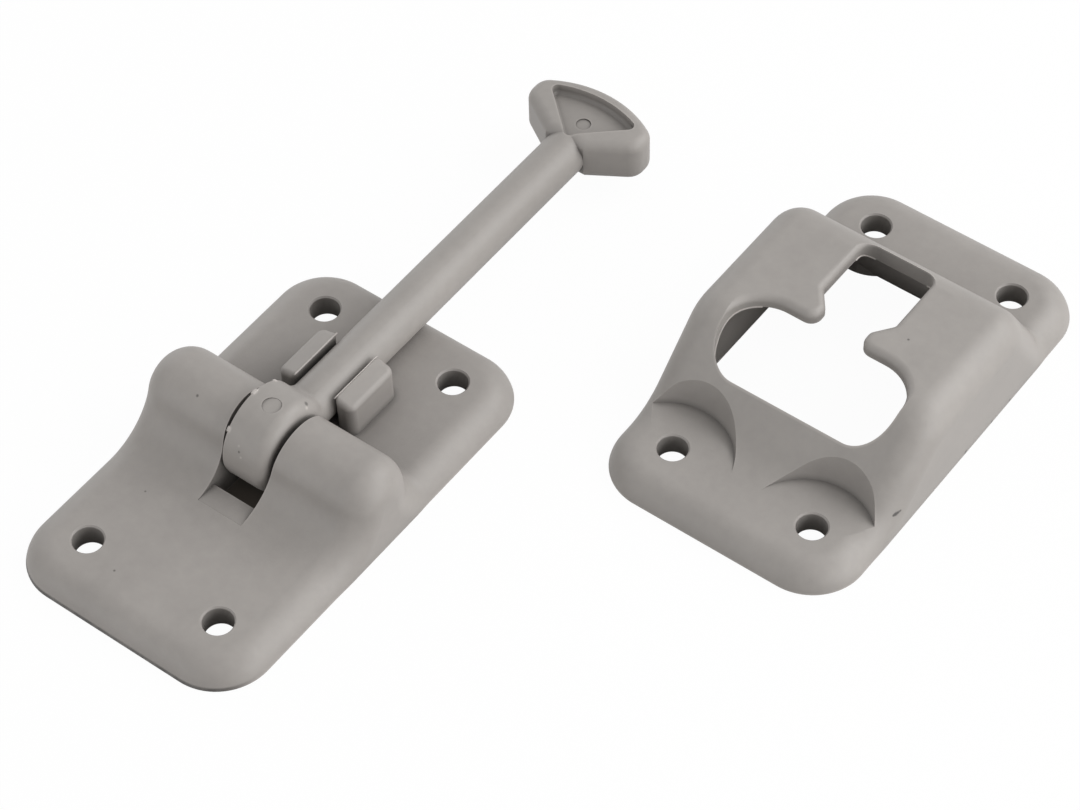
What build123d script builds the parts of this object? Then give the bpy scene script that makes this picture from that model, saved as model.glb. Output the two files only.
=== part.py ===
from build123d import *
import os
from math import atan2, radians, sin, sqrt, tan

# A T-style door holder, in two mouldings that screw to a wall and to a door.
# The wall plate carries an arm that folds flat into a clip. Swung out from the wall,
# its T head enters the wide end of the receiver's keyhole and hooks behind the slot.
#
# Millimetres. X runs across the plates, Y along them, Z away from the wall.
# The origin is the middle of the wall plate's screw pattern, on its flat back.

# Footprint, edge and screws, the same on both plates
plate_width = 44.5
plate_length = 74.9
plate_shift = -0.28          # the plate reaches a little further past its front screws
plate_thickness = 4.05
corner_radius = 9.2
edge_radius = 5.0            # round-over that follows the whole top edge
screw_spacing_x = 25.4
screw_spacing_y = 56.0
screw_hole_diameter = 4.9
hole_rim_chamfer = 0.25

# Arm
shaft_diameter = 7.5
hub_flank = 0.15             # the hub is wider than the shaft by this, each side
hub_soft_edge = 2.2          # the hub's right rim is rounded, its left rim is crisp
hub_crisp_edge = 0.2
arm_reach = 85.3             # hinge axis to the far edge of the T head
head_width = 22.4
head_thickness = 8.0
head_far_radius = 19.0
head_flank_angle = 32.0      # how far the flanks sweep forward from straight across
head_tip_length = 4.0        # the straight end of each tip, before its corners are rounded
head_tip_radius = 3.0
head_edge_radius = 1.8
tray_rim = 2.1               # the shallow tray in each face of the head
tray_depth = 1.8
tray_width = 17.6
tray_length = 10.0
tray_side_length = 7.9       # from the tray's point up to its two corners
tray_corner_radius = 1.0
tray_floor_radius = 0.7
hub_mark_diameter = 3.1      # ejector pin marks on the hub and in the tray
tray_mark_diameter = 2.5
mark_depth = 0.2
neck_radius = 1.5            # the fillet where the shaft leaves the hub

# Hinge
hinge_y = 1.1
lie_gap = 0.2                # folded shaft to the plate under it
hub_wall_gap = 0.1           # hub to the wall behind the plate
pin_diameter = 4.0
pin_length = 20.0
pin_fit = 0.05               # radial, between the pin and both its seats
pin_throat = 3.5             # the groove that the pin snaps through from the back
pin_end_gap = 0.3
pin_chamfer = 0.3
hub_side_gap = 0.3
ear_draft = 5.0              # degrees that each slot wall leans outwards

# Hump that holds the hinge, and its feet
barrel_radius = 6.5
barrel_shift = 0.3           # the barrel lies this much in front of the hinge axis
front_foot_radius = 8.6
back_foot_radius = 3.0
slot_run = 13.8              # the slot's reach from the hinge axis, forwards
pocket_front = 10.1          # the pocket under the hub, from the hinge axis
pocket_back_gap = 0.75       # from the hub, at the plate's top
core_wall = 3.0              # the ears are cored from the back
core_rib = 2.0               # the rib across each core, which stops the pin

# Clip for the folded arm
clip_start = 9.2             # from the hinge axis
clip_length = 10.8
clip_height = 7.0           # above the plate, at the inner edge
clip_fall = 0.9              # the top slopes down outwards by this much
clip_top = 3.4
clip_foot = 3.3
clip_gap = 0.1               # shaft to lip, each side
clip_relief = 0.25           # the clip is this much wider at the plate
clip_lip_radius = 0.3
clip_edge_radius = 1.0
clip_corner_radius = 1.4     # the outer upright edges

# Receiver
receiver_x = 60.3
receiver_y = 65.3
receiver_height = 16.9
wall = 2.2
side_wall = 3.6
front_slope = 44.0           # degrees from flat
slope_top_y = -10.1          # where the front slope would meet the flat top
slope_foot_radius = 9.0
brow_radius = 9.0
rear_brow_y = 15.3
rear_brow_radius = edge_radius + 1.5
rear_foot_y = 23.5
rear_foot_radius = 1.0
cavity_rear_y = 22.2

# Keyhole in the receiver, in the receiver's own plan
keyhole_width = 31.7
keyhole_front_y = -16.7
keyhole_shoulder_y = -3.4
keyhole_front_corner = 5.8
keyhole_rear_corner = 7.0
nub_gap = 8.0
nub_tip_radius = 1.9
nub_root_y = -0.4
nub_root_radius = 1.5
slot_width = 12.9
slot_start_y = 2.8
slot_end_y = 15.1
slot_start_radius = 1.0
slot_end_radius = 2.4
keyhole_edge_radius = 1.2    # on the flat top, fading out down the front and the back

# Scallops that clear the screw heads
front_scallop_radius = 10.4
front_scallop_shift = 1.8    # its centre lies this much nearer the front than the screw
rear_scallop_radius = 5.0
scallop_draft = 15.0         # degrees

# Worked out from the above
shaft_radius = shaft_diameter / 2
barrel_y = hinge_y - barrel_shift
hinge_z = plate_thickness + lie_gap + shaft_radius
hub_radius = hinge_z - hub_wall_gap
hub_width = shaft_diameter + 2 * hub_flank
pocket_half_width = hub_width / 2 + hub_side_gap
edge_depth = max(edge_radius, plate_thickness)
tiny = 0.001                 # tolerance when picking edges and faces
screw_places = [
    (x * screw_spacing_x / 2, y * screw_spacing_y / 2) for y in (-1, 1) for x in (-1, 1)
]


def outline(corners):
    """A closed face from (u, v, radius) corners."""
    points = [(u, v) for u, v, radius in corners]
    radii = [radius for u, v, radius in corners]
    return make_face(FilletPolyline(*points, radius=radii, close=True).edges())


def side_block():
    """The plate's side profile, deeper than the plate so that the round-over fits."""
    depth = plate_thickness + edge_depth
    return Pos(plate_shift, plate_thickness - depth / 2) * Rectangle(plate_length, depth)


def moulded_body(side_face):
    """An upright-sided body under side_face, rounded over its whole top edge, flat at z = 0."""
    height = side_face.bounding_box().max.Y + edge_depth
    plan = RectangleRounded(plate_width, plate_length, corner_radius)
    prism = Pos(0, plate_shift, -edge_depth) * extrude(plan, height)
    body = prism & extrude(Plane.YZ * side_face, plate_width, both=True)
    uprights = [face for face in body.faces() if abs(face.normal_at().Z) < tiny]
    rim = [
        edge
        for face in uprights
        for edge in face.edges()
        if edge.center().Z > -edge_depth / 2 and abs(edge.tangent_at(0.5).Z) < 1 - tiny
    ]
    return split(fillet(rim, edge_radius), bisect_by=Plane.XY, keep=Keep.TOP)


def screw_holes(body):
    """Drills the four screw holes, with their front rims eased."""
    radius = screw_hole_diameter / 2
    ease = Cone(radius, radius + 2 * hole_rim_chamfer, 2 * hole_rim_chamfer)
    drill = Cylinder(radius, 4 * plate_thickness) + Pos(0, 0, plate_thickness) * ease
    for x, y in screw_places:
        body -= Pos(x, y) * drill
    return body


def hump_foot(side, radius):
    """The hollow curve from the plate up to the hump's barrel, before or behind it."""
    centre_z = plate_thickness + radius
    rise = centre_z - hinge_z
    centre_y = barrel_y + side * sqrt((barrel_radius + radius) ** 2 - rise**2)
    web = make_face(
        Polyline(
            (barrel_y, hinge_z),
            (centre_y, centre_z),
            (centre_y, plate_thickness),
            (barrel_y, plate_thickness),
            close=True,
        )
    )
    return web - Pos(centre_y, centre_z) * Circle(radius)


def base_side_face():
    """The wall plate's profile: a flat plate and the barrel that holds the hinge."""
    barrel = Pos(barrel_y, hinge_z) * Circle(barrel_radius)
    face = side_block() + barrel
    face += hump_foot(-1, front_foot_radius)
    face += hump_foot(1, back_foot_radius)
    return face


def ear_slot():
    """The slot that splits the hump into two ears, wider towards its mouth."""
    rise = hinge_z + barrel_radius
    spread = pocket_half_width + rise * tan(radians(ear_draft))
    section = Polyline(
        (-pocket_half_width, plate_thickness),
        (pocket_half_width, plate_thickness),
        (spread, plate_thickness + rise),
        (-spread, plate_thickness + rise),
        close=True,
    )
    run = 2 * slot_run
    return Pos(0, hinge_y, 0) * extrude(Plane.XZ * make_face(section), run / 2, both=True)


def hub_pocket():
    """The opening under the hub, right through to the back."""
    back = sqrt(hub_radius**2 - (hinge_z - plate_thickness) ** 2) + pocket_back_gap
    size = Box(2 * pocket_half_width, pocket_front + back, 3 * plate_thickness)
    return Pos(0, hinge_y + (back - pocket_front) / 2, 0) * size


def pin_groove():
    """A round seat on the hinge axis and the narrower throat that opens to the back."""
    length = pin_length + 2 * pin_end_gap
    seat = Rot(0, 90, 0) * Cylinder(pin_diameter / 2 + pin_fit, length)
    throat = Pos(0, 0, -hinge_z / 2) * Box(length, pin_throat, hinge_z)
    return Pos(0, hinge_y, hinge_z) * (seat + throat)


def ear_cores():
    """Hollows in the back of the ears, each crossed by the rib that stops the pin."""
    core_radius = barrel_radius - core_wall
    first = pocket_half_width + core_wall
    rib = pin_length / 2 + pin_end_gap
    last = plate_width / 2 - side_wall
    section = Pos(hinge_y, hinge_z) * Circle(core_radius)
    section += Pos(hinge_y, hinge_z / 2) * Rectangle(2 * core_radius, hinge_z)
    cores = []
    for start, end in ((first, rib), (rib + core_rib, last)):
        core = extrude(Plane.YZ * section, end - start)
        cores += [Pos(start, 0, 0) * core, Pos(-end, 0, 0) * core]
    return cores


def clip_prong():
    """The right prong of the clip: it stands beside the folded shaft and leans over it a little."""
    lip = shaft_radius + clip_gap
    top = plate_thickness + clip_height
    shoulder = lip + clip_top
    section = outline(
        [
            (lip + clip_relief, plate_thickness / 2, 0),
            (lip, top, clip_lip_radius),
            (shoulder, top - clip_fall, 0),
            (lip + clip_relief + clip_foot, plate_thickness / 2, 0),
        ]
    )
    prong = extrude(Plane.XZ * section, -clip_length)
    outer = prong.edges().filter_by(lambda e: e.center().X > shoulder - tiny)
    prong = fillet(outer.filter_by(Axis.Y, reverse=True), clip_corner_radius)
    brow = prong.edges().filter_by(Axis.Y).filter_by(lambda e: abs(e.center().X - shoulder) < tiny)
    return Pos(0, hinge_y + clip_start, 0) * fillet(brow, clip_edge_radius)


def base_plate():
    body = moulded_body(base_side_face())
    body -= ear_slot()
    body -= hub_pocket()
    body -= pin_groove()
    for core in ear_cores():
        body -= core
    right_prong = clip_prong()
    body += right_prong + mirror(right_prong, about=Plane.YZ)
    return screw_holes(body)


def head_face():
    """The T head seen from above: swept flanks, round tips and a far edge that bows out."""
    half = head_width / 2
    far_centre = arm_reach - head_far_radius
    flank = tan(radians(head_flank_angle))
    tip_far = far_centre + sqrt(head_far_radius**2 - half**2)
    tip_near = tip_far - head_tip_length
    neck = tip_near - flank * (half - shaft_radius)
    right = [(shaft_radius, neck), (half, tip_near), (half, tip_far)]
    left = [(-x, y) for x, y in reversed(right)]
    far_arc = ThreePointArc(right[-1], (0, arm_reach), left[0])
    sides = Polyline(left + right)
    face = make_face([far_arc, *sides.edges()])
    tips = [v for v in face.vertices() if abs(v.X) > half - tiny]
    return fillet(tips, head_tip_radius)


def tray_face():
    """The tray's floor: a pointed fan with a bowed far edge."""
    far = arm_reach - tray_rim
    point = far - tray_length
    corner = point + tray_side_length
    half = tray_width / 2
    edges = Polyline((-half, corner), (0, point), (half, corner)).edges()
    face = make_face([ThreePointArc((half, corner), (0, far), (-half, corner)), *edges])
    return fillet(face.vertices(), tray_corner_radius)


def t_head():
    """The T head without its trays, level on the arm's axis."""
    blank = extrude(head_face(), head_thickness / 2, both=True)
    rims = blank.edges().filter_by(lambda e: abs(abs(e.center().Z) - head_thickness / 2) < tiny)
    return fillet(rims, head_edge_radius)


def head_trays():
    """The trays sunk in both faces of the head, and the ejector mark in the upper one."""
    floor = head_thickness / 2 - tray_depth
    tray = extrude(tray_face(), head_thickness)
    tray = fillet(tray.faces().sort_by(Axis.Z)[0].edges(), tray_floor_radius)
    upper = Pos(0, 0, floor) * tray
    mark_y = arm_reach - tray_rim - tray_length / 2
    mark = Pos(0, mark_y, floor) * Cylinder(tray_mark_diameter / 2, 2 * mark_depth)
    return [upper, mirror(upper, about=Plane.XY), mark]


def hub():
    """A drum on the hinge axis, one rim soft and the other crisp."""
    drum = Rot(0, 90, 0) * Cylinder(hub_radius, hub_width)
    right = drum.edges().sort_by(Axis.X)[-1]
    drum = fillet(right, hub_soft_edge)
    left = drum.edges().sort_by(Axis.X)[0]
    return fillet(left, hub_crisp_edge)


def hub_and_shaft():
    """The hub and the round shaft that leaves it, with a fillet all round the neck."""
    length = arm_reach - tray_rim - tray_length / 2
    shaft = Pos(0, length / 2, 0) * Rot(90, 0, 0) * Cylinder(shaft_radius, length)
    joined = hub() + shaft
    neck = [
        edge
        for edge in joined.edges()
        if shaft_radius < edge.center().Y < hub_radius + tiny
        and max(abs(vertex.Z) for vertex in edge.vertices()) < shaft_radius + tiny
    ]
    return fillet(neck, neck_radius)


def t_arm():
    """The arm as it lies folded: hub, round shaft and T head, moulded in one."""
    arm = hub_and_shaft() + t_head()
    arm -= Pos(0, 0, hub_radius) * Cylinder(hub_mark_diameter / 2, 2 * mark_depth)
    for cutter in head_trays():
        arm -= cutter
    arm -= Rot(0, 90, 0) * Cylinder(pin_diameter / 2 + pin_fit, 2 * hub_width)
    return Pos(0, hinge_y, hinge_z) * arm


def hinge_pin():
    pin = Rot(0, 90, 0) * Cylinder(pin_diameter / 2, pin_length)
    return Pos(0, hinge_y, hinge_z) * chamfer(pin.edges().filter_by(GeomType.CIRCLE), pin_chamfer)


def receiver_side_face():
    """The receiver's profile: a front ramp, a flat top and a steep back."""
    run = (receiver_height - plate_thickness) / tan(radians(front_slope))
    slope_foot_y = slope_top_y - run
    front, rear = (plate_shift + side * plate_length / 2 for side in (-1, 1))
    hump = outline(
        [
            (front, plate_thickness, 0),
            (slope_foot_y, plate_thickness, slope_foot_radius),
            (slope_top_y, receiver_height, brow_radius),
            (rear_brow_y, receiver_height, rear_brow_radius),
            (rear_foot_y, plate_thickness, rear_foot_radius),
            (rear, plate_thickness, 0),
            (rear, 0, 0),
            (front, 0, 0),
        ]
    )
    return side_block() + hump


def scallop_places():
    """Centre and foot radius of the scallop round each screw."""
    for x, y in screw_places:
        if y < 0:
            yield x, y - front_scallop_shift, front_scallop_radius
        else:
            yield x, y, rear_scallop_radius


def scallop(x, y, radius):
    """A drafted cutter that stands on the plate's top and clears a screw head."""
    height = receiver_height
    top = radius + height * tan(radians(scallop_draft))
    return Pos(x, y, plate_thickness + height / 2) * Cone(radius, top, height)


def screw_post(x, y, radius):
    """The material left round a scallop inside the receiver, down to the back."""
    post = Pos(x, y) * Cylinder(radius + wall, 2 * plate_thickness)
    return post + scallop(x, y, radius + wall)


def receiver_cavity():
    """The hollow under the receiver, open at the back and walled round the scallops."""
    ceiling = receiver_height - wall
    slope = radians(front_slope)
    shift = wall / sin(slope)
    front_top = slope_top_y - wall / tan(slope) + shift
    front_bottom = slope_top_y - receiver_height / tan(slope) + shift
    steep = atan2(receiver_height - plate_thickness, rear_foot_y - rear_brow_y)
    rear_top = rear_brow_y - wall * tan(steep / 2)
    side = outline(
        [
            (front_bottom, 0, 0),
            (front_top, ceiling, brow_radius - wall),
            (rear_top, ceiling, rear_brow_radius - wall),
            (cavity_rear_y, 0, 0),
        ]
    )
    half = plate_width / 2 - side_wall
    cavity = extrude(Plane.YZ * side, half, both=True)
    for place in scallop_places():
        cavity -= screw_post(*place)
    return cavity


def keyhole():
    """The keyhole's cutter: a wide mouth, two nubs that narrow the way, and the slot.

    It is cast from a flat block whose upper edge round the keyhole is rounded, so that the
    rounding fades out where the receiver's own top falls away below the block's.
    """
    right = [
        (keyhole_width / 2, keyhole_front_y, keyhole_front_corner),
        (keyhole_width / 2, keyhole_shoulder_y, keyhole_rear_corner),
        (nub_gap / 2, keyhole_shoulder_y, nub_tip_radius),
        (nub_gap / 2, nub_root_y, nub_root_radius),
        (slot_width / 2, slot_start_y, slot_start_radius),
        (slot_width / 2, slot_end_y, slot_end_radius),
    ]
    left = [(-x, y, radius) for x, y, radius in reversed(right)]
    block = Pos(0, 0, receiver_height / 2) * Box(plate_width, plate_length, receiver_height)
    opened = block - extrude(outline(right + left), receiver_height)
    top = opened.faces().sort_by(Axis.Z)[-1]
    return block - fillet(top.inner_wires()[0].edges(), keyhole_edge_radius)


def receiver():
    body = moulded_body(receiver_side_face())
    for place in scallop_places():
        body -= scallop(*place)
    body -= receiver_cavity()
    body -= keyhole()
    return Pos(receiver_x, receiver_y, 0) * screw_holes(body)


pieces = {
    "base_plate": base_plate,
    "hinge_pin": hinge_pin,
    "t_arm": t_arm,
    "receiver": receiver,
}

os.makedirs("parts", exist_ok=True)
for name, build in pieces.items():
    export_step(build(), f"parts/{name}.step")
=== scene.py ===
# %% [markdown]
# # A T-style door holder, dressed for the camera
#
# Two grey plastic mouldings lie beside each other on a white table. The wall plate
# carries an arm on a hinge, folded down into its clip. The receiver beside it has the
# keyhole that the arm's T head hooks into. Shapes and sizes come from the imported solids,
# and this lesson gives them smooth shading, their plastic and steel, the small marks of
# the mould, and a photographer's light.

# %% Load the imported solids
from math import cos, radians, sin

import bpy
from mathutils import Matrix, Vector


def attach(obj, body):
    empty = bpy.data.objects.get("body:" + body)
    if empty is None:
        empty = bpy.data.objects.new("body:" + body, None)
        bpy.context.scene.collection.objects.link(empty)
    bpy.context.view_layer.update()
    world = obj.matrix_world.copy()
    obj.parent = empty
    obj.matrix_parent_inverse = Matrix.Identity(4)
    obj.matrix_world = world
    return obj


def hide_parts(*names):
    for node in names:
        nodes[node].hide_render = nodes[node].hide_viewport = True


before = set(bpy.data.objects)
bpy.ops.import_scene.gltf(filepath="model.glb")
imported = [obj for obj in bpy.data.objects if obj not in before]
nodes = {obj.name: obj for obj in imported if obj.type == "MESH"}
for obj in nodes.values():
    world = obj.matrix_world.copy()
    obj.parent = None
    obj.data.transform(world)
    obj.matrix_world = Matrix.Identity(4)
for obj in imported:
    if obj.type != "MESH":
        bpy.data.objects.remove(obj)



def in_mm(place, digits=2):
    """A place given in metres as a short list of millimetres, for printing."""
    return [round(v * 1000, digits) for v in place]


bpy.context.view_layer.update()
bpy.ops.object.select_all(action="DESELECT")
print("solids:", sorted(nodes))

# %% [markdown]
# ## Camera
#
# A camera is fixed by where it stands, where it looks and how long its lens is. The two
# plates lie flat and square to each other, so their straight sides and their eight screw
# holes give all three. The camera stands half a metre off, above the front right corner,
# with a long lens that keeps the sides of the plates nearly parallel. It leans by under
# two degrees. Its turn is written as a matrix of three directions, which is easier to
# check than three angles.

# %% Camera
image_width_px = 1080
focal_length_px = 3424.4
camera_distance = 0.5296
camera_target = Vector((0.0243, 0.0348, 0.0))
camera_azimuth = radians(38.1)
camera_elevation = radians(50.7)
camera_lean = radians(-1.66)
sensor_width_mm = 36.0

ahead = Vector((
    -sin(camera_azimuth) * cos(camera_elevation),
    cos(camera_azimuth) * cos(camera_elevation),
    -sin(camera_elevation),
))
level_right = Vector((cos(camera_azimuth), sin(camera_azimuth), 0.0))
level_up = level_right.cross(ahead)
right = cos(camera_lean) * level_right + sin(camera_lean) * level_up
up = right.cross(ahead)

lens = bpy.data.cameras.new("product_camera")
lens.sensor_fit = "HORIZONTAL"
lens.sensor_width = sensor_width_mm
lens.lens = focal_length_px * sensor_width_mm / image_width_px
camera = bpy.data.objects.new("product_camera", lens)
bpy.context.scene.collection.objects.link(camera)
turn = Matrix((right, up, -ahead)).transposed().to_4x4()
camera.matrix_world = Matrix.Translation(camera_target - ahead * camera_distance) @ turn
bpy.context.scene.camera = camera
print("lens, mm:", round(lens.lens, 2))
print("camera at, mm:", in_mm(camera.location, 1))

# %% [markdown]
# ## Shader maths as plain arithmetic
#
# A procedural finish is a sum of small effects: a speckle, a drift of colour, a worn
# spot. Each could be wired up by hand, but long chains of nodes are hard to read. Here a
# small class wraps one output socket, so that `0.5 + 0.1 * speckle` adds the Math nodes
# by itself. Colours go through Mix, because a Math node would turn them grey. The class
# also has the few measures that the materials are made of: soft noise, the place on the
# piece, the free space around it, and a smooth step between two readings.

# %% A socket that takes part in sums
free_space_rays = 4


class Field:
    """One output socket of a node tree, which plain arithmetic works on."""

    def __init__(self, tree, socket=None):
        self.tree = tree
        self.socket = socket

    def node(self, kind, settings=None, sockets=None, output=0):
        """Adds any node: its settings come first, then the values or links of its sockets."""
        new = self.tree.nodes.new(kind)
        for name, value in (settings or {}).items():
            setattr(new, name, value)
        for key, value in (sockets or {}).items():
            if isinstance(value, Field):
                self.tree.links.new(value.socket, new.inputs[key])
            else:
                new.inputs[key].default_value = value
        return Field(self.tree, new.outputs[output])

    def math(self, operation, *values):
        """A Math node on the given values, each of them a number or a field."""
        return self.node("ShaderNodeMath", {"operation": operation}, dict(enumerate(values)))

    def __add__(self, other):
        return self.math("ADD", self, other)

    def __mul__(self, other):
        return self.math("MULTIPLY", self, other)

    def __sub__(self, other):
        return self.math("SUBTRACT", self, other)

    def __rsub__(self, other):
        return self.math("SUBTRACT", other, self)

    __radd__ = __add__
    __rmul__ = __mul__

    def mix(self, first, second):
        """A colour between first and second, by this field from 0 to 1."""
        return self.node(
            "ShaderNodeMix",
            {"data_type": "RGBA"},
            {"Factor": self, 6: first, 7: second},
            output=2,
        )

    def smooth_step(self, starts, ends):
        """0 where this field reads starts, 1 where it reads ends, and smooth between."""
        return self.node(
            "ShaderNodeMapRange",
            {"interpolation_type": "SMOOTHSTEP"},
            {"Value": self, "From Min": starts, "From Max": ends},
        )

    def place(self):
        """The place on the piece, which stands in the solids' frame, in metres."""
        return self.node("ShaderNodeTexCoord", output="Object")

    def coordinate(self, axis):
        """The X, Y or Z of that place alone."""
        return self.node("ShaderNodeSeparateXYZ", None, {"Vector": self.place()}, output=axis)

    def free_space(self, depth, **settings):
        """How free the space is within depth metres: 0 is shut in and 1 is open."""
        return self.node(
            "ShaderNodeAmbientOcclusion",
            {"samples": free_space_rays, **settings},
            {"Distance": depth},
            output="AO",
        )

    def noise(self, size, detail=2.0, stretch=(1.0, 1.0, 1.0), offset=(0.0, 0.0, 0.0)):
        """Soft blotches about size metres across, from 0 to 1, fixed to the piece."""
        place = self.node(
            "ShaderNodeMapping",
            None,
            {"Vector": self.place(), "Location": offset, "Scale": stretch},
        )
        return self.node(
            "ShaderNodeTexNoise", None, {"Vector": place, "Scale": 1.0 / size, "Detail": detail}
        )


def new_material(name):
    """An empty node tree with its output, and the tree as a field to start sums from."""
    material = bpy.data.materials.new(name)
    material.use_nodes = True
    tree = material.node_tree
    tree.nodes.clear()
    output = tree.nodes.new("ShaderNodeOutputMaterial")
    return material, tree, output, Field(tree)


# %% [markdown]
# ## Table and background
#
# The object lies on a white sheet that goes on past the picture. A sheet lit brightly
# enough to turn pure white would throw too much light up at the object. So the sheet has
# two faces. To the eye it is nearly all glow, with a little real light that keeps the
# faint shadow under the mouldings. To the light that bounces off it, it is a grey cloth,
# so that the hollows of the mouldings stay dark. Below the hinge a patch of painted shade
# puts the glow out and makes the cloth darker still, where the opening looks into deep
# shade. Under the two mouldings a painted shade puts the glow out in reflections.

# %% White table
table_half_size = 1.5
table_drop = 0.00002
sheet_white = (0.9, 0.9, 0.9, 1.0)
cloth_grey = (0.30, 0.29, 0.28, 1.0)
# painted shade: the darker cloth below the hinge
painted_shade_cloth = (0.16, 0.14, 0.12, 1.0)
glow_share = 0.965
# Each patch of painted shade is the middle of a rectangle and half its sides, along X and Y.
hinge_shade_patch = ((0.0, 0.001), (0.008, 0.013))
plate_shade_patch = ((0.0, 0.0), (0.022, 0.037))
receiver_shade_patch = ((0.0603, 0.065), (0.022, 0.037))
patch_softness = 0.004


# A patch of painted shade on the table.
def painted_shade_patch(sums, patch):
    """1 inside a rectangle on the table and 0 outside it, with a soft edge."""
    inside = 1.0
    for axis, middle, half in zip("XY", *patch):
        aside = sums.coordinate(axis) - middle
        aside = aside.math("ABSOLUTE", aside)
        inside = inside * aside.smooth_step(half, half - patch_softness)
    return inside


def matt(sums, colour):
    """A matt surface of one colour."""
    return sums.node("ShaderNodeBsdfDiffuse", None, {"Color": colour})


def blend(sums, share, first, second):
    """A surface between two others: all first where share is 0, all second where it is 1."""
    return sums.node("ShaderNodeMixShader", None, {0: share, 1: first, 2: second})


bpy.ops.mesh.primitive_plane_add(size=2 * table_half_size, location=(0, 0, 0))
table = bpy.context.object
table.name = "table"
table.data.transform(Matrix.Translation((0.0, 0.0, -table_drop)))
material, tree, output, sums = new_material("white_sheet")
seen = sums.node("ShaderNodeLightPath", output="Is Camera Ray")
mirrored = sums.node("ShaderNodeLightPath", output="Is Glossy Ray")
through = sums.node("ShaderNodeLightPath", output="Is Transmission Ray")
# Painted shade: the glow goes out below the hinge, and in reflections under the mouldings.
hinge_painted_shade = painted_shade_patch(sums, hinge_shade_patch)
seen = seen.math("MAXIMUM", seen, through) * (1.0 - hinge_painted_shade)
for patch in (plate_shade_patch, receiver_shade_patch):
    mirrored = mirrored * (1.0 - painted_shade_patch(sums, patch))
to_the_eye = seen.math("MAXIMUM", seen, mirrored)
white = sums.node("ShaderNodeEmission", None, {"Color": (1.0, 1.0, 1.0, 1.0), "Strength": 1.0})
# Painted shade: the cloth below the hinge is darker.
cloth = blend(sums, hinge_painted_shade, matt(sums, cloth_grey), matt(sums, painted_shade_cloth))
bright = blend(sums, glow_share, matt(sums, sheet_white), white)
surface = blend(sums, to_the_eye, cloth, bright)
tree.links.new(surface.socket, output.inputs["Surface"])
table.data.materials.append(material)
bpy.ops.object.select_all(action="DESELECT")
print("table at z, mm:", -table_drop * 1000)

# %% [markdown]
# ## Light
#
# The right-hand sides of the mouldings are their brightest faces, and every shadow is
# soft. So the main lamp stands to the right and half way up, a second one low on the same
# side, and plain light comes from everywhere else. Two weaker lamps stand low at the
# front left and the back left, and keep those sides from going dull. Each lamp is nearly
# as wide as it is far away, so that no shadow has a hard edge.

# %% Lamps and sky
sky_level = 0.53
lamp_distance = 0.75
lamp_size = 0.6
lamps = {
    # name: turn from +X towards +Y, height (both in degrees) and power in watts
    "main_lamp": (50.0, 38.0, 2.9),
    "low_right_lamp": (5.0, 12.0, 2.9),
    "front_left_lamp": (240.0, 12.0, 1.3),
    "back_left_lamp": (160.0, 12.0, 1.1),
}

sky = bpy.data.worlds.new("plain_sky")
sky.use_nodes = True
background = sky.node_tree.nodes["Background"]
background.inputs["Color"].default_value = (1.0, 1.0, 1.0, 1.0)
background.inputs["Strength"].default_value = sky_level
bpy.context.scene.world = sky

for name, (lamp_turn, lamp_height, power) in lamps.items():
    lamp_turn, lamp_height = radians(lamp_turn), radians(lamp_height)
    along = cos(lamp_height)
    direction = Vector((along * cos(lamp_turn), along * sin(lamp_turn), sin(lamp_height)))
    lamp_data = bpy.data.lights.new(name, "AREA")
    lamp_data.shape = "DISK"
    lamp_data.size = lamp_size
    lamp_data.energy = power
    lamp = bpy.data.objects.new(name, lamp_data)
    bpy.context.scene.collection.objects.link(lamp)
    lamp.location = camera_target + direction * lamp_distance
    lamp.rotation_euler = (-direction).to_track_quat("-Z", "Y").to_euler()
    print(name, "at, mm:", in_mm(lamp.location, 0))
bpy.context.scene.view_settings.view_transform = "Standard"

# %% [markdown]
# ## The moulded plastic
#
# Both plates and the arm are a warm grey engineering plastic, satin rather than glossy.
# Up close the colour isn't even: pigment and resin swirl a little as they flow into the
# mould, over a centimetre or so, and the mould's own surface leaves a grain finer than a
# tenth of a millimetre. The swirl is two soft noises in the colour. The grain is a bump
# of a few thousandths of a millimetre, which breaks up the sheen. Shade and highlight are
# painted into the colour as well, by how open each spot is and how near an edge: closed
# corners and hollows get painted shade, and sharp edges a pale painted highlight. The
# narrow gaps round the hub and the clip, and the finest creases, get painted shade that is
# nearly black. A thin painted contact shadow runs along the very foot of the wall plate's
# front edge.
# Last come the small faults: dark specks of burnt resin, and pale spots where thin flash
# was torn off.

# %% Tones, painted shade and highlight, and the small faults
# Each tone is a share of the plastic's own colour.
drift_tones = (0.94, 1.06)
# burnt specks, and painted shade in creases and at the foot
burnt_and_shade_tone = 0.25
# nearly black painted shade in the narrow gaps
gap_shade_tone = 0.12
# pale torn spots, and the painted highlight along sharp edges
pale_and_highlight_tone = 1.45
# A spot is at its full strength over this share of its radius.
spot_core = 0.2


def toned(colour, share):
    """A colour times share, with a full alpha."""
    return tuple(share * c for c in colour) + (1.0,)


def marks(sums, places):
    """Small soft spots, each given by x, y, z and radius in millimetres."""
    here = sums.place()
    total = 0.0
    for x, y, z, radius in places:
        away = sums.node(
            "ShaderNodeVectorMath",
            {"operation": "DISTANCE"},
            {0: here, 1: (x / 1000, y / 1000, z / 1000)},
            output="Value",
        )
        total = total + away.smooth_step(radius / 1000, spot_core * radius / 1000)
    return total


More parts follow.
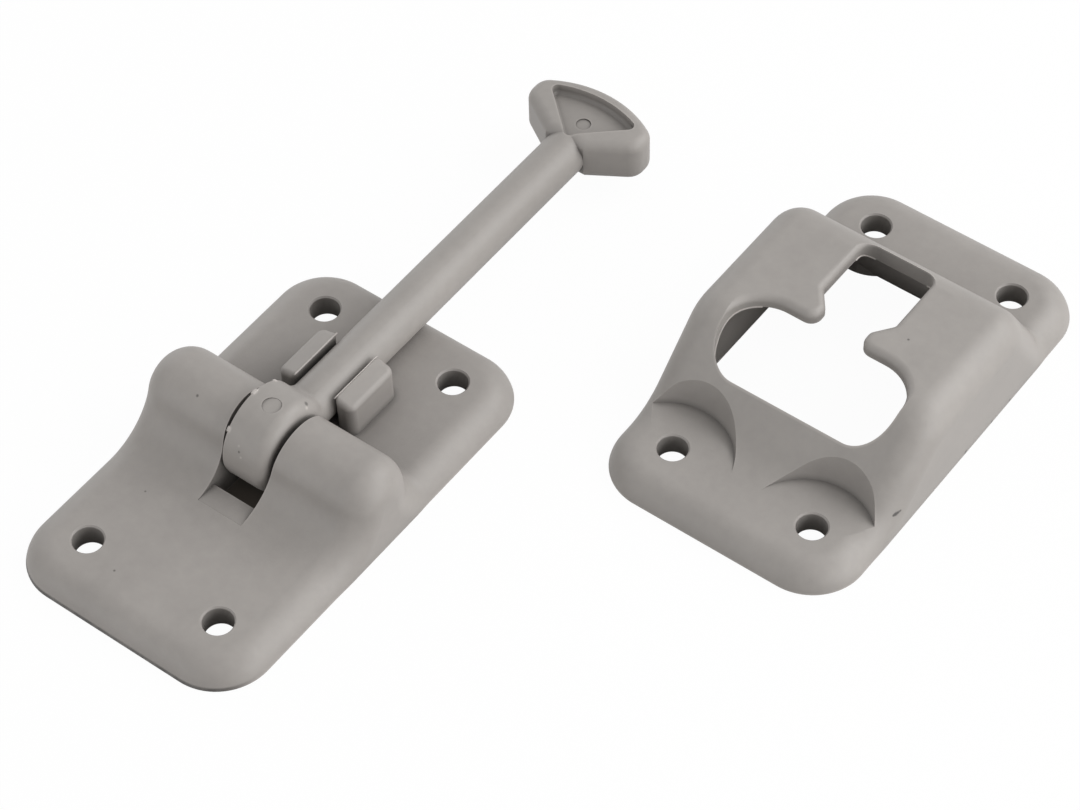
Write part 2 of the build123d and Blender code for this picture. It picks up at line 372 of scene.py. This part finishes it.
# %% The plastic itself
# Sizes and depths are in metres. The painted shade in gaps and creases starts and ends at
# a reading of the free space, from 0 to 1. The painted contact shadow at the foot starts
# and ends at a height, and at a place along Y.
swirl_size, mottle_size, grain_size = 0.011, 0.0016, 0.00016
swirl_detail = 3.0
swirl_stretch = (1.0, 0.6, 1.0)
swirl_share, mottle_share = 0.65, 0.35
drift_middle, drift_spread = 0.33, 3.0
corner_depth = 0.014
gap_depth = 0.004
gap_starts, gap_ends = 0.36, 0.06
crease_depth = 0.0012
crease_starts, crease_ends = 0.92, 0.55
crease_shade_share = 0.70
edge_depth = 0.00035
# a painted contact shadow along the foot of the wall plate's front edge
foot_shadow_strength = 0.4
foot_top, foot_full = 0.0008, 0.0004
foot_front_starts, foot_front_ends = -0.0300, -0.0355
speck_share = 0.8
sheen, sheen_by_mottle, sheen_by_swirl = 0.40, 0.10, 0.06
mottle_height = 0.5
dent_depth = 4.0
bump_strength = 0.35
bump_height = 0.00001
plastic_ior = 1.49


def moulded_plastic(name, colour, offset, shelter, specks, torn=(), painted_foot_shadow=False):
    """Satin grey plastic: a slow swirl, mould grain, painted shade and highlight, and a few
    small faults.

    offset moves the noises, so that no two pieces have the same swirl. shelter is the tone
    of the painted shade in a fully closed corner, as a share of the open face's.
    """
    material, tree, output, sums = new_material(name)
    swirl = sums.noise(swirl_size, swirl_detail, stretch=swirl_stretch, offset=offset)
    mottle = sums.noise(mottle_size, offset=offset)
    grain = sums.noise(grain_size, offset=offset)
    # How shut in each spot is, for the painted shade in corners and hollows.
    openness = sums.free_space(corner_depth, only_local=True)
    # The sharp edges that get a painted highlight.
    near_edge = 1.0 - sums.free_space(edge_depth, inside=True)
    # Where painted shade goes: the narrow gaps round the hub and the clip, and the finest
    # creases.
    gap = sums.free_space(gap_depth).smooth_step(gap_starts, gap_ends)
    crease = sums.free_space(crease_depth, only_local=True)
    crease = crease.smooth_step(crease_starts, crease_ends)
    burnt_and_shade = toned(colour, burnt_and_shade_tone)
    pale_and_highlight = toned(colour, pale_and_highlight_tone)

    # The noises stay near their middle, so their sum is spread out to fill 0 to 1.
    drift = swirl_share * swirl + mottle_share * mottle - drift_middle
    paint = (drift_spread * drift).mix(*(toned(colour, share) for share in drift_tones))
    # Painted highlight: sharp edges are paler.
    paint = near_edge.mix(paint, pale_and_highlight)
    # Painted shade: closed corners and hollows darken towards the shelter tone.
    paint = openness.mix(toned(colour, shelter), paint)
    # Painted shade: creases darken, and the narrow gaps go nearly black.
    paint = (crease_shade_share * crease).mix(paint, burnt_and_shade)
    paint = gap.mix(paint, toned(colour, gap_shade_tone))
    # Painted contact shadow along the very foot of the wall plate's front edge.
    if painted_foot_shadow:
        foot_shadow = foot_shadow_strength + mottle
        foot_shadow = foot_shadow * sums.coordinate("Y").smooth_step(foot_front_starts, foot_front_ends)
        foot_shadow = foot_shadow * sums.coordinate("Z").smooth_step(foot_top, foot_full)
        paint = foot_shadow.mix(paint, burnt_and_shade)
    dents = marks(sums, specks)
    paint = (speck_share * dents).mix(paint, burnt_and_shade)
    if torn:
        paint = marks(sums, torn).mix(paint, pale_and_highlight)

    roughness = sheen + sheen_by_mottle * mottle + sheen_by_swirl * swirl
    height = grain + mottle_height * mottle - dent_depth * dents
    bump = sums.node(
        "ShaderNodeBump",
        None,
        {"Height": height, "Strength": bump_strength, "Distance": bump_height},
    )
    skin = sums.node(
        "ShaderNodeBsdfPrincipled",
        None,
        {"Base Color": paint, "Roughness": roughness, "Normal": bump, "IOR": plastic_ior},
    )
    tree.links.new(skin.socket, output.inputs["Surface"])
    return material


# %% Three plastics, with the faults of each moulding
plate_colour = (0.345, 0.322, 0.303)
arm_colour = (0.342, 0.320, 0.301)
receiver_colour = (0.345, 0.323, 0.304)
# Each fault is a place and a radius: x, y, z, radius in millimetres.
plate_specks = [
    (-11.66, -2.67, 13.48, 0.35),
    (-11.67, -16.12, 4.0, 0.25),
    (-5.63, -30.04, 4.0, 0.3),
    (17.5, 8.5, 2.6, 0.4),
]
arm_specks = [(2.99, 5.37, 14.15, 0.55), (-0.9, -6.1, 11.3, 0.3)]
arm_torn = [
    (-3.8, 1.6, 15.9, 0.7),
    (-3.8, -4.75, 13.3, 0.6),
    (-3.1, -5.2, 3.3, 0.8),
    (-3.8, 6.0, 14.1, 0.5),
    (3.5, 4.9, 14.0, 0.45),
    (-1.2, -5.5, 12.0, 0.35),
    (-0.4, -6.4, 10.6, 0.3),
]
receiver_specks = [
    (70.04, 66.59, 16.9, 0.3),
    (81.83, 45.77, 4.46, 0.3),
    (81.92, 46.02, 4.49, 0.45),
    (82.01, 46.31, 4.51, 0.5),
    (82.11, 46.7, 4.55, 0.4),
    (82.21, 47.07, 4.6, 0.3),
    (82.5, 65.23, 0.44, 0.55),
    (82.5, 72.68, 0.26, 0.45),
    (82.5, 77.81, 0.5, 0.4),
]
plate_plastic = moulded_plastic(
    "plate_satin",
    plate_colour,
    offset=(0.0, 0.0, 0.0),
    shelter=0.4,
    specks=plate_specks,
    painted_foot_shadow=True,
)
arm_plastic = moulded_plastic(
    "arm_satin",
    arm_colour,
    offset=(0.31, 0.17, 0.05),
    shelter=0.75,
    specks=arm_specks,
    torn=arm_torn,
)
receiver_plastic = moulded_plastic(
    "receiver_satin",
    receiver_colour,
    offset=(0.73, 0.41, 0.12),
    shelter=0.45,
    specks=receiver_specks,
)
print("plastics:", plate_plastic.name, arm_plastic.name, receiver_plastic.name)

# %% [markdown]
# ## The steel pin
#
# The hinge pin is cut from drawn wire. Drawing leaves fine straight lines along its
# length, so the noise is stretched out along X, and it changes the roughness more than
# the colour.

# %% Steel
line_size, line_detail = 0.0002, 3.0
line_stretch = (0.04, 1.0, 1.0)
stain_size = 0.003
steel_dull = (0.50, 0.50, 0.50, 1.0)
steel_bright = (0.66, 0.66, 0.655, 1.0)
steel_sheen, sheen_by_line = 0.22, 0.2
line_strength = 0.3


def drawn_steel(name):
    """Bright wire with fine lines along X."""
    material, tree, output, sums = new_material(name)
    lines = sums.noise(line_size, line_detail, stretch=line_stretch)
    paint = sums.noise(stain_size).mix(steel_dull, steel_bright)
    bump = sums.node(
        "ShaderNodeBump",
        None,
        {"Height": lines, "Strength": line_strength, "Distance": bump_height},
    )
    roughness = steel_sheen + sheen_by_line * lines
    skin = sums.node(
        "ShaderNodeBsdfPrincipled",
        None,
        {"Base Color": paint, "Metallic": 1.0, "Roughness": roughness, "Normal": bump},
    )
    tree.links.new(skin.socket, output.inputs["Surface"])
    return material


pin_steel = drawn_steel("drawn_wire")
print("steel:", pin_steel.name)

# %% [markdown]
# ## Smooth skins
#
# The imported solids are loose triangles, which would show as facets on every round edge.
# Each one is copied, its doubled corners are merged, and it is shaded smooth wherever
# neighbouring facets meet at less than thirty degrees. That alone would bend the light
# on the flat faces next to a round-over, so a Weighted Normal modifier lets the large
# flat triangles decide there.

# %% Copy, merge and smooth the solids
merge_distance = 0.000002
smooth_limit = radians(30.0)


def smooth_skin(node, name, body, material):
    """A merged and smoothly shaded copy of one solid, which stands for it."""
    skin = bpy.data.objects.new(name, nodes[node].data.copy())
    bpy.context.scene.collection.objects.link(skin)
    bpy.ops.object.select_all(action="DESELECT")
    skin.select_set(True)
    bpy.context.view_layer.objects.active = skin
    if skin.data.has_custom_normals:
        bpy.ops.mesh.customdata_custom_splitnormals_clear()
    bpy.ops.object.mode_set(mode="EDIT")
    bpy.ops.mesh.select_all(action="SELECT")
    bpy.ops.mesh.remove_doubles(threshold=merge_distance)
    bpy.ops.object.mode_set(mode="OBJECT")
    bpy.ops.object.shade_smooth_by_angle(angle=smooth_limit)
    weighted = skin.modifiers.new("flat_faces_decide", "WEIGHTED_NORMAL")
    weighted.mode = "FACE_AREA_WITH_ANGLE"
    weighted.keep_sharp = True
    bpy.ops.object.modifier_apply(modifier=weighted.name)
    skin.data.materials.clear()
    skin.data.materials.append(material)
    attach(skin, body)
    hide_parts(node)
    print(name, "corners", len(skin.data.vertices), "facets", len(skin.data.polygons))
    return skin


smooth_skin("base_plate", "wall_plate_skin", "plates", plate_plastic)
smooth_skin("t_arm", "arm_skin", "arm", arm_plastic)
smooth_skin("hinge_pin", "pin_skin", "plates", pin_steel)
receiver = smooth_skin("receiver", "receiver_skin", "plates", receiver_plastic)

# %% [markdown]
# ## Flash along the keyhole
#
# Where the two halves of a mould meet, a film of plastic creeps between them and stays on
# the part as a thin feather called flash. The receiver has some along the lower edge of
# its keyhole, round the slot's far end and on the left of the mouth, where it catches the
# light as a fine bright line. That edge is already in the solid: it is where the keyhole's
# upright wall meets the ceiling of the hollow. So those edges are lifted out of a copy of
# the receiver, and a thin round bead is run along them.

# %% Bead on the keyhole's lower edge
bead_radius = 0.00015
bead_roundness = 2
flash_boxes = [
    # lowest and highest x, y and z of the slot's far end, then of the mouth's left side
    (Vector((0.0533, 0.0765, 0.005)), Vector((0.0673, 0.0815, 0.0169))),
    (Vector((0.0441, 0.0450, 0.005)), Vector((0.0475, 0.0635, 0.0169))),
]
upright_limit = 0.05
ceiling_limit = -0.6

source = bpy.data.objects.new("keyhole_edges", receiver.data.copy())
bpy.context.scene.collection.objects.link(source)
tilts = {}
for polygon in source.data.polygons:
    for key in polygon.edge_keys:
        tilts.setdefault(key, []).append(polygon.normal.z)
bpy.ops.object.select_all(action="DESELECT")
source.select_set(True)
bpy.context.view_layer.objects.active = source
bpy.ops.object.mode_set(mode="EDIT")
bpy.ops.mesh.select_mode(type="EDGE")
bpy.ops.mesh.select_all(action="DESELECT")
bpy.ops.object.mode_set(mode="OBJECT")
for edge in source.data.edges:
    middle = sum((source.data.vertices[v].co for v in edge.vertices), Vector()) / 2
    tilt = sorted(tilts[edge.key])
    lower_edge = tilt[0] < ceiling_limit and abs(tilt[-1]) < upright_limit
    in_a_box = any(
        all(low[axis] < middle[axis] < high[axis] for axis in range(3))
        for low, high in flash_boxes
    )
    edge.select = lower_edge and in_a_box
picked = sum(edge.select for edge in source.data.edges)
bpy.ops.object.mode_set(mode="EDIT")
bpy.ops.mesh.duplicate()
bpy.ops.mesh.separate(type="SELECTED")
bpy.ops.object.mode_set(mode="OBJECT")
bead = next(piece for piece in bpy.context.selected_objects if piece is not source)
bpy.data.objects.remove(source)
bead.name = "keyhole_flash"
bpy.context.view_layer.objects.active = bead
bead.select_set(True)
bpy.ops.object.convert(target="CURVE")
bead.data.bevel_depth = bead_radius
bead.data.bevel_resolution = bead_roundness
bead.data.use_fill_caps = True
bpy.ops.object.convert(target="MESH")
bpy.ops.object.shade_smooth()
bead.data.materials.clear()
bead.data.materials.append(receiver_plastic)
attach(bead, "plates")
print("edges with flash:", picked, "corners of the bead:", len(bead.data.vertices))

# %% [markdown]
# ## Flash on the clip
#
# The clip's two prongs have a feather of flash along their inner upper edges, and the one
# on the left catches the light all along. Each is a thin rod, cut into short lengths and
# roughened by a few hundredths of a millimetre. It stays clear of the shaft, which passes
# between the prongs with a tenth of a millimetre to spare on each side.

# %% Rods along the clip's inner edges
clip_flash = {
    # name: x of its middle, radius, and the seed of its roughness
    "clip_flash_left": (-0.00394, 0.00013, 4),
    "clip_flash_right": (0.00394, 0.00009, 9),
}
clip_flash_height = 0.01096
clip_flash_ends = (0.0105, 0.0209)
clip_flash_sides = 10
clip_flash_cuts = 17
clip_flash_roughness = 0.00004

for name, (x, radius, seed) in clip_flash.items():
    bpy.ops.object.select_all(action="DESELECT")
    start, end = clip_flash_ends
    bpy.ops.mesh.primitive_cylinder_add(
        vertices=clip_flash_sides,
        radius=radius,
        depth=end - start,
        location=(x, (start + end) / 2, clip_flash_height),
        rotation=(radians(90.0), 0.0, 0.0),
    )
    flash = bpy.context.object
    flash.name = name
    bpy.ops.object.transform_apply(location=True, rotation=True, scale=True)
    bpy.ops.object.mode_set(mode="EDIT")
    bpy.ops.mesh.select_mode(type="EDGE")
    bpy.ops.mesh.select_all(action="DESELECT")
    bpy.ops.object.mode_set(mode="OBJECT")
    for edge in flash.data.edges:
        first, last = (flash.data.vertices[v].co.y for v in edge.vertices)
        edge.select = abs(last - first) > radius
    bpy.ops.object.mode_set(mode="EDIT")
    bpy.ops.mesh.subdivide(number_cuts=clip_flash_cuts)
    bpy.ops.mesh.select_all(action="SELECT")
    bpy.ops.transform.vertex_random(offset=clip_flash_roughness, seed=seed)
    bpy.ops.object.mode_set(mode="OBJECT")
    bpy.ops.object.shade_smooth()
    flash.data.materials.append(plate_plastic)
    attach(flash, "plates")
    print(name, "corners:", len(flash.data.vertices))

# %% [markdown]
# ## Torn flash on the hub
#
# The hub's left rim is the mould's parting line too. There the flash was torn off, and a
# few crumbs of it still stick out sideways into the slot, each less than a millimetre
# across. They have to stay clear of the slot's walls as the arm turns. Each one is a small
# block, rounded off and turned to lie along the rim.

# %% Crumbs on the hub's left rim
hinge_axis = Vector((0.0, 0.0011, 0.0080))
crumbs = {
    # name: turn round the hinge from +Y towards +Z in degrees, then how far it stands out
    # sideways, its length along the rim and its height, in metres
    "crumb_top": (86.0, 0.00022, 0.0013, 0.0006),
    "crumb_front": (138.0, 0.00025, 0.0010, 0.0009),
    "crumb_low": (215.0, 0.00024, 0.0010, 0.0008),
    "crumb_back": (50.0, 0.00020, 0.0008, 0.0005),
}
crumb_sink = 0.00045         # how deep each crumb is set into the hub's side
crumb_stand = 0.00007        # and how far it stands out from the hub's round face
crumb_rounding = 0.3         # the radius of its edges, as a share of its height
crumb_round_steps = 3
hub_half_width = 0.0039
hub_reach = 0.0079

for name, (angle, reach, length, height) in crumbs.items():
    bpy.ops.object.select_all(action="DESELECT")
    width = reach + crumb_sink
    place = hinge_axis + Vector(
        (-hub_half_width - reach + width / 2, hub_reach + crumb_stand - height / 2, 0)
    )
    bpy.ops.mesh.primitive_cube_add(size=1.0, location=place, scale=(width, height, length))
    crumb = bpy.context.object
    crumb.name = name
    bpy.ops.object.transform_apply(location=True, rotation=True, scale=True)
    bpy.ops.object.mode_set(mode="EDIT")
    bpy.ops.mesh.select_all(action="SELECT")
    bpy.ops.mesh.bevel(
        offset=crumb_rounding * height, segments=crumb_round_steps, affect="EDGES"
    )
    bpy.ops.mesh.select_all(action="SELECT")
    bpy.ops.transform.rotate(
        value=-radians(angle), orient_axis="X", center_override=hinge_axis
    )
    bpy.ops.object.mode_set(mode="OBJECT")
    bpy.ops.object.shade_smooth()
    crumb.data.materials.append(arm_plastic)
    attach(crumb, "arm")
    middle = sum((v.co for v in crumb.data.vertices), Vector()) / len(crumb.data.vertices)
    print(name, "middle, mm:", in_mm(middle))
